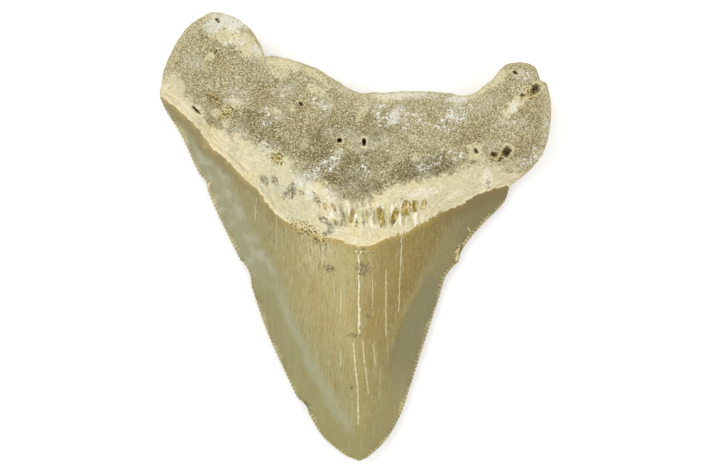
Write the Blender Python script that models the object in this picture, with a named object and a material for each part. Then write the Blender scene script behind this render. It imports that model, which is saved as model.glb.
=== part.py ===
"""Fossil megalodon tooth, lying on its labial face as it rests on a table.

The crown points to -Y and the root to +Y. The lingual face, which has the dental band, looks up.
The origin is at the middle of the tooth's box in plan, on the surface that it lies on.
The numbers here are millimetres until the mesh is made, which is in metres.
"""

import math

import bmesh
import bpy
import numpy as np
from mathutils import Vector, geometry, noise

MM = 0.001
NAME = "tooth"

# The outline in plan, run by run and counter-clockwise from the tip. Each run is one smooth line,
# and a corner stands where two of them meet.
SERRATED, BROKEN, ROOT = "serrated", "broken", "root"
TIP = (0.8, -37.1)
OUTLINE = (
    (SERRATED, (TIP, (2.4, -36.3), (5.4, -33.4), (7.8, -29.2), (9.1, -25.4), (11.2, -18.9),
                (12.9, -13.6), (14.2, -9.6), (14.4, -8.7))),
    (BROKEN, ((14.4, -8.7), (15.1, -6.6), (16.1, -5.2), (17.3, -4.1))),
    (SERRATED, ((17.3, -4.1), (17.7, -2.5), (19.5, 0.1), (21.7, 2.5), (24.8, 5.7), (25.8, 8.4))),
    (ROOT, ((25.8, 8.4), (28.0, 10.2), (30.3, 12.4), (31.9, 16.1), (32.4, 21.0), (32.1, 24.1),
            (31.6, 25.5), (30.6, 25.8))),
    (ROOT, ((30.6, 25.8), (30.1, 27.6), (28.6, 28.7), (26.2, 28.7), (24.6, 28.2), (23.0, 26.1),
            (21.5, 24.9), (19.8, 23.8), (17.9, 23.2), (15.4, 23.7), (9.3, 24.1), (4.2, 23.8),
            (0.3, 23.9), (-2.6, 25.5), (-6.2, 27.7), (-9.5, 29.0), (-13.5, 29.9), (-14.8, 29.6))),
    (ROOT, ((-14.8, 29.6), (-15.5, 31.7), (-17.3, 34.4), (-19.7, 36.2), (-22.8, 37.1), (-25.2, 36.3),
            (-27.7, 34.4), (-29.9, 31.0), (-31.5, 27.5), (-31.8, 25.5), (-32.2, 23.9), (-32.1, 22.8))),
    (SERRATED, ((-32.1, 22.8), (-31.3, 21.0), (-29.0, 17.4), (-27.7, 14.7), (-25.7, 10.4), (-24.6, 9.1),
                (-24.2, 7.3), (-21.5, 1.3), (-18.9, -3.9))),
    (BROKEN, ((-18.9, -3.9), (-18.4, -4.2), (-17.3, -6.1), (-16.95, -8.5))),
    (SERRATED, ((-16.95, -8.5), (-16.2, -10.9), (-14.3, -16.2), (-10.9, -23.7), (-9.4, -26.7),
                (-8.6, -27.3))),
    (BROKEN, ((-8.6, -27.3), (-7.8, -28.2), (-7.5, -29.4))),
    (SERRATED, ((-7.5, -29.4), (-5.4, -32.8), (-3.5, -34.6), (-1.5, -36.1), TIP)),
)
SERRATION_PITCH = 0.67
SERRATION_DEPTH = 0.16
SERRATION_UNEVENNESS = 0.35
UNEVENNESS_PER_MM = 1.7
WORN_BELOW_Y = (-34.0, -26.0)
WORN_RIGHT_OF_X = (10.0, 16.0)
WORN_SHARE = 0.25
SHOULDER_WEAR = 0.6
BROKEN_STEP = 0.5
ROOT_STEP = 1.25
CURVE_POINTS = 25

# The upper border of the enamel on each face, from the left edge to the right
LINGUAL_MARGIN = ((-33.5, 24.2), (-30.6, 22.2), (-27.7, 19.8), (-25.6, 17.5), (-23.9, 15.1), (-21.5, 13.1),
                  (-17.9, 9.3), (-16.2, 8.0), (-13.5, 4.4), (-11.1, 2.4), (-7.5, 1.0), (-5.4, -0.1),
                  (-2.9, -0.3), (-0.8, -1.1), (1.4, -1.6), (3.2, -1.2), (5.2, -0.1), (8.1, 0.7), (11.0, 2.3),
                  (14.9, 4.3), (17.7, 5.4), (19.3, 6.5), (21.5, 7.5), (25.7, 8.5), (27.5, 8.7))
LABIAL_MARGIN = ((-33.5, 24.4), (-29.0, 20.6), (-22.0, 15.0), (-14.0, 10.6), (-6.0, 8.0), (1.0, 7.2),
                 (8.0, 7.6), (15.0, 8.6), (21.0, 8.9), (25.8, 8.4), (27.5, 8.1))
MARGIN_STEP = 1.05
ENAMEL_PROUD = 0.30
LEDGE_HALF = 0.16
PROUD_FROM_EDGE = 1.5
PROUD_BELOW_MARGIN = 4.0

# The crown: a blade whose crest rises towards the root
CUTTING_EDGE_Z = 2.1
CREST_Z = 13.0
CREST_TOP_Y = 8.0
CREST_RUN = 52.0
CREST_POWER = 1.6
BLADE_POINT_Y = -47.0
BLADE_SPREAD = 0.39
BLADE_HOLLOW = 1.12
LABIAL_FLATNESS = 1.12
LABIAL_BOW = 0.0012
LABIAL_LOWEST_Y = -9.0
REST_SPOT_CUT = 0.07
TIP_LIFT = 1.1
TIP_BEND_Y = -18.0

# The root: two lobes with a boss between them, rounded all round
RIM_Z = 6.0
LOBE_Z = 10.2
BOSS_RISE = 5.8
BOSS_CENTRE = (-1.0, 10.5)
BOSS_SPREAD = (14.0, 8.0)
LINGUAL_ROUNDING = 5.4
LABIAL_ROUNDING = 4.6
LABIAL_ARCH = 1.3
ARCH_CENTRE = (2.0, 18.0)
ARCH_SPREAD = (12.0, 8.0)
BAND_FOOT, BAND_TOP = -1.0, 7.0
LUMPS = ((5.5, 0.55), (2.3, 0.22))
LOBE_REST_Z = -0.22

# Hollows in the lingual face: x, y, half-length, half-width, turn in degrees, depth. The holes and
# pits of the root come first, and then the slots flaked out of the dental band.
PITS = (
    (-2.5, 15.8, 0.40, 0.36, 0, 1.3),
    (1.5, 15.5, 0.62, 0.34, 90, 1.3),
    (-26.1, 20.9, 1.05, 0.30, -45, 1.1),
    (-22.6, 35.6, 0.50, 0.28, -50, 0.8),
    (-22.9, 30.4, 0.50, 0.40, 40, 0.5),
    (-8.8, 21.6, 0.45, 0.36, -40, 0.9),
    (-21.4, 20.8, 1.20, 0.80, 35, 0.6),
    (-12.9, 12.9, 0.85, 0.55, -25, 0.6),
    (24.9, 14.0, 0.85, 0.75, 60, 1.2),
    (22.9, 13.5, 0.60, 0.50, 0, 0.9),
    (19.9, 14.1, 0.55, 0.32, -60, 0.7),
    (29.4, 24.0, 1.00, 0.70, 50, 1.4),
    (27.5, 23.3, 0.50, 0.45, 0, 0.8),
    (26.4, 27.0, 0.55, 0.38, -35, 0.8),
    (-10.4, 7.5, 0.85, 0.32, 80, 0.35),
    (-2.1, 3.1, 1.20, 0.38, 92, 0.35),
    (-0.5, 3.5, 1.15, 0.42, 88, 0.40),
    (1.7, 3.5, 0.95, 0.36, 90, 0.35),
    (4.2, 3.3, 1.45, 0.45, 98, 0.45),
    (6.5, 3.4, 1.25, 0.45, 74, 0.45),
    (8.5, 4.6, 1.15, 0.60, 84, 0.45),
    (11.2, 5.2, 0.75, 0.42, 70, 0.40),
)
PIT_LIP = 1.35
PIT_WALL = 0.70
PIT_SIDES = 8
PIT_SLOPE = (0.35, 1.1)

# Spacing of the mesh, away from the lines above
LINGUAL_SPACING = 1.28
LABIAL_SPACING = 1.6
LATTICE_STRAY = 0.10
STRAYS_PER_MM = 3.1
NEAREST = 0.72
PIT_NEAREST = 0.2
CLEAR_OF_OUTLINE = 0.5
ROW_CLEARANCE = 0.85
FIRST_ROW_NEAREST = 0.8

# Rows inside the outline, each with its depth and the least spacing of its points
EDGE_ROWS = ((0.42, SERRATION_PITCH), (1.15, 1.1))
RIM_ROWS = ((0.14, ROOT_STEP), (0.60, 1.3), (1.45, 1.4), (2.75, 1.5))

# The ridge of the crown is evened out this far in from the edge and this far below the enamel's margin
CREST_SMOOTHING = 3
CREST_DEPTH = 3.0
CREST_BELOW_MARGIN = 1.3

MERGE_DISTANCE = 0.0001
SAME_POINT = 0.000001
FILL_INSIDE = 1

SHARP_DEGREES = 40
FOSSIL_COLOUR = (0.42, 0.36, 0.20)
FOSSIL_ROUGHNESS = 0.65


def smooth_line(points):
    """Closely spaced points on a smooth line through the given ones."""
    knots = [Vector(p).to_3d() for p in points]
    line = [knots[0]]
    for i in range(len(knots) - 1):
        before, here = knots[max(i - 1, 0)], knots[i]
        there, after = knots[i + 1], knots[min(i + 2, len(knots) - 1)]
        reach = (there - here).length / 3
        leaving = here + (there - before).normalized() * reach
        arriving = there - (after - here).normalized() * reach
        line += geometry.interpolate_bezier(here, leaving, arriving, there, CURVE_POINTS)[1:]
    return np.array([p.xy for p in line])


def evenly(line, count):
    """count + 1 points, evenly spaced along the line, with both its ends."""
    along = np.append(0, np.cumsum(np.linalg.norm(np.diff(line, axis=0), axis=1)))
    marks = np.linspace(0, along[-1], count + 1)
    return np.column_stack([np.interp(marks, along, line[:, i]) for i in range(2)])


def steps_in(line, step):
    """How many steps of about this size the line holds, and at least one."""
    return max(1, round(np.linalg.norm(np.diff(line, axis=0), axis=1).sum() / step))


def inward(loop):
    """Unit vectors that point into a closed counter-clockwise loop, one for each point."""
    along = np.roll(loop, -1, axis=0) - np.roll(loop, 1, axis=0)
    along /= np.linalg.norm(along, axis=1, keepdims=True)
    return np.column_stack([-along[:, 1], along[:, 0]])


def serration_depth(points):
    """How deep the serrations are: worn down at the tip and on the right shoulder, and uneven between."""
    x, y = points.T
    crisp = smoothstep(*WORN_BELOW_Y, y) * (1 - SHOULDER_WEAR * smoothstep(*WORN_RIGHT_OF_X, x))
    swings = np.array([noise.noise(Vector((*p, 5.0)) * UNEVENNESS_PER_MM) for p in points])
    depth = SERRATION_DEPTH * (WORN_SHARE + (1 - WORN_SHARE) * crisp)
    return depth * (1 + SERRATION_UNEVENNESS * swings)


def outline():
    """The closed outline, the kind of run at each point, and which points are the gullets of serrations."""
    loop, kinds, gullets = [], [], []
    for kind, points in OUTLINE:
        line = smooth_line(points)
        if kind == SERRATED:
            count = 2 * steps_in(line, SERRATION_PITCH)
        else:
            count = steps_in(line, BROKEN_STEP if kind == BROKEN else ROOT_STEP)
        loop.append(evenly(line, count)[:-1])
        kinds += [kind] * count
        gullets += [kind == SERRATED and i % 2 == 1 for i in range(count)]
    loop, kinds, gullets = np.concatenate(loop), np.array(kinds), np.array(gullets)
    loop[gullets] += (serration_depth(loop)[:, None] * inward(loop))[gullets]
    return loop, kinds, gullets


def distance_to(line, points):
    """The distance of each point from a line, and the line's direction where it is nearest."""
    start, run = line[:-1], np.diff(line, axis=0)
    share = np.einsum("psk,sk->ps", points[:, None] - start, run) / (run**2).sum(axis=1)
    foot = start + np.clip(share, 0, 1)[..., None] * run
    gap = np.linalg.norm(points[:, None] - foot, axis=2)
    nearest = gap.argmin(axis=1)
    return gap.min(axis=1), run[nearest], foot[np.arange(len(points)), nearest]


def above(line, points):
    """The distance of each point from a line that runs from left to right, positive above it."""
    gap, run, foot = distance_to(line, points)
    offset = points - foot
    return np.copysign(gap, run[:, 0] * offset[:, 1] - run[:, 1] * offset[:, 0])


def inside(loop, points):
    """Which points lie inside the closed loop."""
    x, y = points.T
    crossed = np.zeros(len(points), bool)
    for (x0, y0), (x1, y1) in zip(loop, np.roll(loop, -1, axis=0)):
        spans = (y0 > y) != (y1 > y)
        crossed ^= spans & (x < x0 + (y - y0) * (x1 - x0) / (y1 - y0 if y1 != y0 else 1))
    return crossed


def smoothstep(low, high, value):
    share = np.clip((value - low) / (high - low), 0, 1)
    return share * share * (3 - 2 * share)


def bell(points, centre, spread):
    """A smooth bump of height 1 at its centre."""
    return np.exp(-(((points - centre) / spread) ** 2).sum(axis=1))


def rounded(depth, radius):
    """The profile of a round edge, from 0 at the outline to 1 at that radius inside it."""
    return np.sqrt(1 - (1 - np.clip(depth / radius, 0, 1)) ** 2)


def blade(points, depth):
    """The profile of the crown across, from 0 at the cutting edge to 1 at the crest."""
    half_width = BLADE_SPREAD * (points[:, 1] - BLADE_POINT_Y)
    return (1 - (1 - np.clip(depth / half_width, 0, 1)) ** 2) ** BLADE_HOLLOW


def root_share(points, margin):
    """0 on the crown and 1 on the root, with the dental band between them."""
    return smoothstep(BAND_FOOT, BAND_TOP, above(margin, points))


def rim_height(points):
    """How high the outline stands over the table. The tip bends up a little."""
    share = root_share(points, smooth_line(LINGUAL_MARGIN))
    return CUTTING_EDGE_Z + (RIM_Z - CUTTING_EDGE_Z) * share + tip_lift(points)


def tip_lift(points):
    return TIP_LIFT * np.clip((TIP_BEND_Y - points[:, 1]) / (TIP_BEND_Y - TIP[1]), 0, 1) ** 2


def lumps(points, seed):
    """The uneven surface of the root."""
    height = np.zeros(len(points))
    for size, swing in LUMPS:
        height += [swing * noise.noise(Vector((x / size, y / size, seed))) for x, y in points]
    return height


def pit_reach(pit, points):
    """How far each point lies from a pit's centre, where 1 is the pit's own edge."""
    x, y, half_length, half_width, turn, _ = pit
    c, s = math.cos(math.radians(turn)), math.sin(math.radians(turn))
    dx, dy = (points - (x, y)).T
    return np.hypot((dx * c + dy * s) / half_length, (dy * c - dx * s) / half_width)


def lingual_height(points, depth, margin):
    """The upper surface: the crest of the blade, the band that climbs from it, and the boss of the root."""
    rim, share, over = rim_height(points), root_share(points, margin), above(margin, points)
    crest = CREST_Z * (1 - np.clip((CREST_TOP_Y - points[:, 1]) / CREST_RUN, 0, 1) ** CREST_POWER)
    crown = rim + (crest + tip_lift(points) - rim) * blade(points, depth)
    boss = LOBE_Z + BOSS_RISE * bell(points, BOSS_CENTRE, BOSS_SPREAD) + lumps(points, 0.0)
    root = rim + (boss - rim) * rounded(depth, LINGUAL_ROUNDING)
    height = crown + (root - crown) * share
    enamel = (1 - smoothstep(-LEDGE_HALF, LEDGE_HALF, over)) * smoothstep(-PROUD_BELOW_MARGIN, 0, over)
    height += ENAMEL_PROUD * enamel * smoothstep(0, PROUD_FROM_EDGE, depth)
    for pit in PITS:
        height -= pit[-1] * (1 - smoothstep(*PIT_SLOPE, pit_reach(pit, points)))
    return height


def labial_height(points, depth, margin):
    """The lower surface: a nearly flat blade, and a root that is set back behind its enamel."""
    rim, share, over = rim_height(points), root_share(points, margin), above(margin, points)
    bow = tip_lift(points) + LABIAL_BOW * (points[:, 1] - LABIAL_LOWEST_Y) ** 2
    flat = CUTTING_EDGE_Z * (1 - LABIAL_FLATNESS * blade(points, depth))
    crown = np.minimum(np.maximum(flat, 0) + bow, rim)
    back = LOBE_REST_Z + LABIAL_ARCH * bell(points, ARCH_CENTRE, ARCH_SPREAD) + lumps(points, 7.0)
    root = rim + (back - rim) * rounded(depth, LABIAL_ROUNDING)
    height = crown + (root - crown) * share
    set_back = smoothstep(-LEDGE_HALF, LEDGE_HALF, over) * smoothstep(0, PROUD_FROM_EDGE, depth)
    height += ENAMEL_PROUD * set_back
    return height


def keep_apart(kept, candidates, spacing):
    """The kept points with those candidates added that stand clear of every point before them."""
    kept = list(kept)
    for point in candidates:
        if ((np.array(kept) - point) ** 2).sum(axis=1).min() > (NEAREST * spacing) ** 2:
            kept.append(point)
    return kept


def rows_inside(loop, kinds, gullets):
    """Rows of points along the inside of the outline, close together where the surface turns fastest."""
    into = inward(loop)
    for row, (rim_row, edge_row) in enumerate(zip(RIM_ROWS, EDGE_ROWS + (None,) * len(RIM_ROWS))):
        for picked, inset in ((kinds == ROOT, rim_row), ((kinds != ROOT) & ~gullets, edge_row)):
            if inset is None:
                continue
            depth, spacing = inset
            points = loop[picked] + depth * into[picked]
            clear = distance_to(closed(loop), points)[0] > ROW_CLEARANCE * depth
            yield points[clear], FIRST_ROW_NEAREST * depth if row == 0 else spacing


def closed(loop):
    return np.vstack([loop, loop[:1]])


def pit_points(pit, border):
    """A pit's lip, its wall and its bottom, where they stand clear of the outline."""
    x, y, half_length, half_width, turn, _ = pit
    c, s = math.cos(math.radians(turn)), math.sin(math.radians(turn))
    points = [(x, y)]
    for size in (PIT_WALL, PIT_LIP):
        for side in range(PIT_SIDES):
            angle = math.tau * side / PIT_SIDES
            u, v = size * half_length * math.cos(angle), size * half_width * math.sin(angle)
            points.append((x + u * c - v * s, y + u * s + v * c))
    points = np.array(points)
    return points[distance_to(border, points)[0] > CLEAR_OF_OUTLINE]


def margin_points(margin, loop):
    """The foot and the top of the enamel's ledge, where they lie inside the outline."""
    line = evenly(margin, steps_in(margin, MARGIN_STEP))
    along = np.gradient(line, axis=0)
    up = np.column_stack([-along[:, 1], along[:, 0]]) / np.linalg.norm(along, axis=1, keepdims=True)
    both = np.vstack([line - LEDGE_HALF * up, line + LEDGE_HALF * up])
    within = inside(loop, both)
    within[within] = distance_to(closed(loop), both[within])[0] > CLEAR_OF_OUTLINE
    return both[within]


def lattice(loop, spacing):
    """Evenly spread points in the outline's box."""
    low, high = loop.min(axis=0), loop.max(axis=0)
    rows = np.arange(low[1], high[1], spacing * math.sqrt(0.75))
    points = []
    for i, y in enumerate(rows):
        for x in np.arange(low[0] + (i % 2) * spacing / 2, high[0], spacing):
            dx, dy = [noise.noise(Vector((x, y, seed)) * STRAYS_PER_MM) for seed in (2.0, 9.0)]
            points.append((x + LATTICE_STRAY * spacing * dx, y + LATTICE_STRAY * spacing * dy))
    return np.array(points)


def face_sheet(outline_parts, margin, pits, spacing, height):
    """One face of the tooth as an open mesh whose border is the outline."""
    loop = outline_parts[0]
    kept = list(loop)
    for pit in pits:
        kept = keep_apart(kept, pit_points(pit, closed(loop)), PIT_NEAREST)
    kept = keep_apart(kept, margin_points(margin, loop), 2 * LEDGE_HALF)
    for points, gap in rows_inside(*outline_parts):
        kept = keep_apart(kept, points, gap)
    fill = lattice(loop, spacing)
    fill = fill[inside(loop, fill)]
    fill = fill[distance_to(closed(loop), fill)[0] > NEAREST * spacing]
    kept = keep_apart(kept, fill, spacing)
    ring = [(i, (i + 1) % len(loop)) for i in range(len(loop))]
    kept = [Vector(point) for point in kept]
    spots, _, faces, *_ = geometry.delaunay_2d_cdt(kept, ring, [], FILL_INSIDE, SAME_POINT)
    sheet = bmesh.new()
    corners = [sheet.verts.new((*spot, 0)) for spot in spots]
    for face in faces:
        sheet.faces.new([corners[i] for i in face])
    split_chords(sheet)
    raise_to(sheet, height, margin, closed(loop))
    return sheet


def split_chords(sheet):
    """Gives each edge between two points of the border a middle, so that the faces don't touch there."""
    chords = [e for e in sheet.edges if not e.is_boundary and all(v.is_boundary for v in e.verts)]
    bmesh.ops.subdivide_edges(sheet, edges=chords, cuts=1)
    bmesh.ops.triangulate(sheet, faces=[f for f in sheet.faces if len(f.verts) > 3])


def raise_to(sheet, height, margin, border):
    """Lifts each point to its height, and evens out the ridge that the blade's two slopes make."""
    points = np.array([v.co.xy for v in sheet.verts])
    depth = distance_to(border, points)[0]
    rim = np.array([v.is_boundary for v in sheet.verts])
    heights = np.where(rim, rim_height(points), height(points, np.where(rim, 0, depth), margin))
    for vert, z in zip(sheet.verts, heights):
        vert.co.z = z
    over = above(margin, points)
    on_crest = (depth > CREST_DEPTH) & (over < -CREST_BELOW_MARGIN)
    crest = [v for v, picked in zip(sheet.verts, on_crest) if picked]
    for _ in range(CREST_SMOOTHING):
        bmesh.ops.smooth_vert(sheet, verts=crest, factor=0.5, use_axis_z=True)


def join_faces(lingual, labial):
    """One closed body from the two faces, which share the outline."""
    for face in labial.faces:
        face.normal_flip()
    other = bpy.data.meshes.new("labial_face")
    labial.to_mesh(other)
    labial.free()
    lingual.from_mesh(other)
    bpy.data.meshes.remove(other)
    bmesh.ops.remove_doubles(lingual, verts=lingual.verts, dist=MERGE_DISTANCE)
    bmesh.ops.recalc_face_normals(lingual, faces=lingual.faces)


def rest_on_table(body):
    """Wears small flat spots where the tooth rests, and puts the middle of its box over the origin."""
    points = np.array([v.co for v in body.verts])
    middle = (points.min(axis=0) + points.max(axis=0)) / 2
    for vert in body.verts:
        vert.co.z = max(vert.co.z, REST_SPOT_CUT)
    bmesh.ops.translate(body, verts=body.verts, vec=(-middle[0], -middle[1], -REST_SPOT_CUT))


def fossil_material():
    material = bpy.data.materials.new("fossil")
    material.use_nodes = True
    shader = material.node_tree.nodes["Principled BSDF"]
    shader.inputs["Base Color"].default_value = (*FOSSIL_COLOUR, 1)
    shader.inputs["Roughness"].default_value = FOSSIL_ROUGHNESS
    shader.inputs["Metallic"].default_value = 0
    return material


def build_tooth():
    parts = outline()
    margins = [smooth_line(points) for points in (LINGUAL_MARGIN, LABIAL_MARGIN)]
    body = face_sheet(parts, margins[0], PITS, LINGUAL_SPACING, lingual_height)
    join_faces(body, face_sheet(parts, margins[1], (), LABIAL_SPACING, labial_height))
    rest_on_table(body)
    bmesh.ops.scale(body, verts=body.verts, vec=(MM, MM, MM))
    mesh = bpy.data.meshes.new(NAME)
    body.to_mesh(mesh)
    body.free()
    mesh.materials.append(fossil_material())
    mesh.shade_smooth()
    mesh.set_sharp_from_angle(angle=math.radians(SHARP_DEGREES))
    return bpy.data.objects.new(NAME, mesh)


def main():
    for old in list(bpy.data.objects):
        bpy.data.objects.remove(old)
    collection = bpy.data.collections.new("megalodon_tooth")
    bpy.context.scene.collection.children.link(collection)
    collection.objects.link(build_tooth())


main()
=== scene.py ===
"""A fossil megalodon tooth on a pale table, seen from above with its lingual face up.

The tooth is one piece, made from a fine copy of its faceted body. The copy is smoothed, then given
the grain of the root and its pits. Its material works out all the colours, with the cracks, slots,
stains and chalk. Lengths in the tables and in the material are millimetres.
"""

import math
from types import SimpleNamespace

import bmesh
import bpy
import numpy as np
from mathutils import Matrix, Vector, geometry, kdtree, noise


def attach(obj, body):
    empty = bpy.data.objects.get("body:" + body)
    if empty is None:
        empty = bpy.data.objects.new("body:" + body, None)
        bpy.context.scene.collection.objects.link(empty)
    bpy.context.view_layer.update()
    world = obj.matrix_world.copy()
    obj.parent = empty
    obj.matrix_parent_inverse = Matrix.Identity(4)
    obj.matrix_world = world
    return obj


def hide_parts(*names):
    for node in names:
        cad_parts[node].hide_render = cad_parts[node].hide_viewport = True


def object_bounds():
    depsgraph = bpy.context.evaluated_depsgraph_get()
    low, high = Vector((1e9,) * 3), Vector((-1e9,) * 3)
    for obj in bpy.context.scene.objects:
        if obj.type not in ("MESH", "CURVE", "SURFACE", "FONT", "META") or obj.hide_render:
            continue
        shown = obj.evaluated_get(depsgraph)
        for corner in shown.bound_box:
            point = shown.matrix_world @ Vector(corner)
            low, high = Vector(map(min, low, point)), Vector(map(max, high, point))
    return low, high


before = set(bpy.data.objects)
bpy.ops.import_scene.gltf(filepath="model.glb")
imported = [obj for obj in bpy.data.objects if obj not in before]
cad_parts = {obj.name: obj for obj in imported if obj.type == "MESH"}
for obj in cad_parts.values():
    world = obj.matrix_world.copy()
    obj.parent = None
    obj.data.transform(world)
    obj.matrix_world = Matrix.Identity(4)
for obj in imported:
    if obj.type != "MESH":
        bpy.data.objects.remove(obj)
cad_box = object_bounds()

MM = 0.001

# The upper border of the enamel on each face, from left to right
LINGUAL_MARGIN = (
    (-33.5, 24.2), (-30.6, 22.2), (-27.7, 19.8), (-25.6, 17.5), (-23.9, 15.1), (-21.5, 13.1),
    (-17.9, 9.3), (-16.2, 8.0), (-13.5, 4.4), (-11.1, 2.4), (-7.5, 1.0), (-5.4, -0.1),
    (-2.9, -0.3), (-0.8, -1.1), (1.4, -1.6), (3.2, -1.2), (5.2, -0.1), (8.1, 0.7),
    (11.0, 2.3), (14.9, 4.3), (17.7, 5.4), (19.3, 6.5), (21.5, 7.5), (25.7, 8.5),
    (27.5, 8.7),
)
LABIAL_MARGIN = (
    (-33.5, 24.4), (-29.0, 20.6), (-22.0, 15.0), (-14.0, 10.6), (-6.0, 8.0), (1.0, 7.2),
    (8.0, 7.6), (15.0, 8.6), (21.0, 8.9), (25.8, 8.4), (27.5, 8.1),
)
# Where the cream dental band gives way to the granular root
BAND_TOP = (
    (-34.0, 27.0), (-29.5, 24.5), (-26.0, 21.5), (-24.2, 18.7), (-21.5, 17.3), (-18.4, 16.2),
    (-15.7, 14.9), (-11.7, 13.8), (-10.4, 12.0), (-9.5, 9.8), (-6.6, 8.9), (-4.2, 8.0),
    (-1.7, 6.6), (0.8, 5.9), (3.2, 7.0), (5.7, 8.2), (8.1, 8.7), (11.8, 9.4),
    (14.4, 9.9), (16.9, 10.6), (19.1, 11.4), (21.5, 11.6), (25.2, 11.1), (29.0, 10.2),
)

# Holes in the root: x, y, half-length, half-width, turn in degrees, depth
PITS = (
    (-2.5, 15.8, 0.40, 0.36, 0, 1.3),
    (1.5, 15.5, 0.62, 0.34, 90, 1.3),
    (-26.1, 20.9, 1.00, 0.20, -45, 1.0),
    (-22.6, 35.6, 0.48, 0.20, -50, 0.7),
    (-22.9, 30.4, 0.50, 0.16, 60, 0.35),
    (-8.9, 21.9, 0.46, 0.22, -40, 0.8),
    (24.9, 14.0, 0.78, 0.62, 60, 1.1),
    (22.9, 13.5, 0.52, 0.42, 0, 0.9),
    (23.9, 12.8, 0.42, 0.26, 60, 0.8),
    (19.9, 14.1, 0.50, 0.26, -60, 0.7),
    (29.6, 24.2, 0.95, 0.62, 50, 1.2),
    (27.5, 23.3, 0.34, 0.28, 0, 0.6),
    (26.4, 27.0, 0.50, 0.22, -35, 0.6),
)
# Cracks in the enamel, filled with pale sediment: x and y of both ends, half-width, strength
CRACKS = (
    (0.63, -2.2, 0.60, -9.5, 0.24, 0.95),
    (0.60, -9.5, 0.68, -16.0, 0.27, 1.00),
    (-0.22, -17.3, 0.03, -21.3, 0.18, 0.85),
    (0.03, -21.3, 0.42, -24.6, 0.20, 0.95),
    (0.42, -24.6, 0.58, -31.0, 0.17, 0.80),
    (1.25, -17.0, 1.64, -21.2, 0.16, 0.70),
    (1.64, -21.2, 2.24, -26.0, 0.16, 0.60),
    (5.13, -5.4, 5.13, -16.5, 0.16, 0.60),
    (7.72, 0.4, 7.55, -3.1, 0.15, 0.60),
    (7.55, -3.1, 7.15, -12.5, 0.15, 0.55),
    (2.84, -6.9, 2.97, -13.0, 0.12, 0.50),
    (2.97, -17.5, 3.34, -21.0, 0.13, 0.55),
    (-2.37, -7.9, -2.42, -12.5, 0.15, 0.50),
    (-2.46, -18.3, -2.34, -21.7, 0.12, 0.45),
    (-3.52, -7.4, -3.47, -9.9, 0.11, 0.40),
    (-2.90, -2.1, -2.90, -3.9, 0.10, 0.45),
    (-12.9, 3.7, -13.0, -2.1, 0.09, 0.35),
    (-11.3, 1.8, -11.3, 0.6, 0.10, 0.35),
    (-16.2, 6.6, -16.5, 2.6, 0.12, 0.45),
    (1.83, -9.4, 1.83, -11.2, 0.10, 0.40),
)
# Flaked slots in the dental band: as the pits, with how brown they are in place of a depth
SLOTS = (
    (-0.50, 3.5, 1.05, 0.36, 80, 0.85),
    (1.75, 3.7, 0.80, 0.28, 90, 0.45),
    (4.25, 3.3, 1.55, 0.46, 99, 1.0),
    (6.50, 3.4, 1.30, 0.44, 72, 1.0),
    (8.35, 4.7, 1.20, 0.70, 80, 0.95),
    (9.75, 5.0, 0.95, 0.46, 84, 1.0),
    (11.30, 5.25, 0.75, 0.38, 72, 0.8),
    (-4.9, 4.9, 0.60, 0.24, 95, 0.6),
    (-3.5, 4.9, 0.65, 0.26, 112, 0.75),
    (-3.6, 2.6, 0.35, 0.28, 0, 0.45),
    (-12.9, 12.9, 0.75, 0.50, -40, 0.8),
)
# Grey marks on the dental band: as the pits, with no depth, and so are the next four tables
GREY_MARKS = (
    (-2.06, 3.1, 1.30, 0.40, 94),
    (-10.4, 7.5, 0.95, 0.40, 80),
    (-13.2, 9.2, 0.80, 0.42, 125),
    (-14.9, 9.4, 0.80, 0.50, 125),
    (-11.4, 7.0, 0.60, 0.34, 60),
    (-8.8, 7.2, 0.50, 0.38, 150),
    (-6.5, 6.4, 0.75, 0.32, 115),
    (-5.9, 5.7, 0.60, 0.28, 100),
    (-3.6, 2.0, 0.90, 0.40, 20),
    (-5.2, 2.8, 0.80, 0.40, 150),
    (-4.4, 0.7, 0.70, 0.26, 0),
    (0.2, 2.4, 0.70, 0.26, 95),
    (1.6, 2.2, 0.55, 0.24, 90),
    (2.9, 3.5, 1.10, 0.28, 100),
    (1.2, 5.6, 0.60, 0.26, 100),
    (2.7, 6.3, 0.60, 0.26, 100),
    (7.7, 6.3, 0.50, 0.18, 100),
    (21.9, 8.6, 0.70, 0.26, 80),
)
# Dark specks and smudges on the enamel
SMUDGES = (
    (-4.2, -5.2, 0.95, 0.60, -20),
    (1.4, -5.3, 1.00, 1.10, 0),
    (-0.4, -16.2, 1.00, 0.30, 0),
    (2.2, -13.0, 0.35, 0.35, 0),
    (-0.6, -24.9, 0.25, 0.30, 0),
)
# Rusty grit across the margin of the enamel
STAINS = (
    (-8.2, 1.4, 2.4, 0.9, -24),
    (-5.6, -0.4, 1.2, 0.8, -10),
    (0.9, -2.4, 1.6, 0.5, 0),
    (-21.2, 20.6, 1.7, 1.0, 35),
    (-23.3, 22.8, 1.5, 0.7, -50),
    (29.0, 23.6, 1.6, 1.1, 50),
    (16.9, -2.5, 1.6, 0.40, 76),
    (23.2, 13.2, 1.6, 0.8, 20),
    (-12.9, 13.0, 1.2, 0.9, -40),
)
# Pale flakes and dark nicks where the cutting edge is chipped
FLAKES = (
    (18.9, 1.2, 0.50, 0.10, -50),
    (16.9, -3.5, 0.50, 0.20, 75),
    (-24.2, 8.6, 0.50, 0.15, 60),
)
NICKS = (
    (17.5, -2.2, 1.1, 0.22, 78),
    (18.0, -0.4, 0.5, 0.14, 60),
    (-8.1, -27.5, 0.55, 0.25, -50),
    (-7.7, -28.4, 0.6, 0.14, -65),
)
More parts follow.
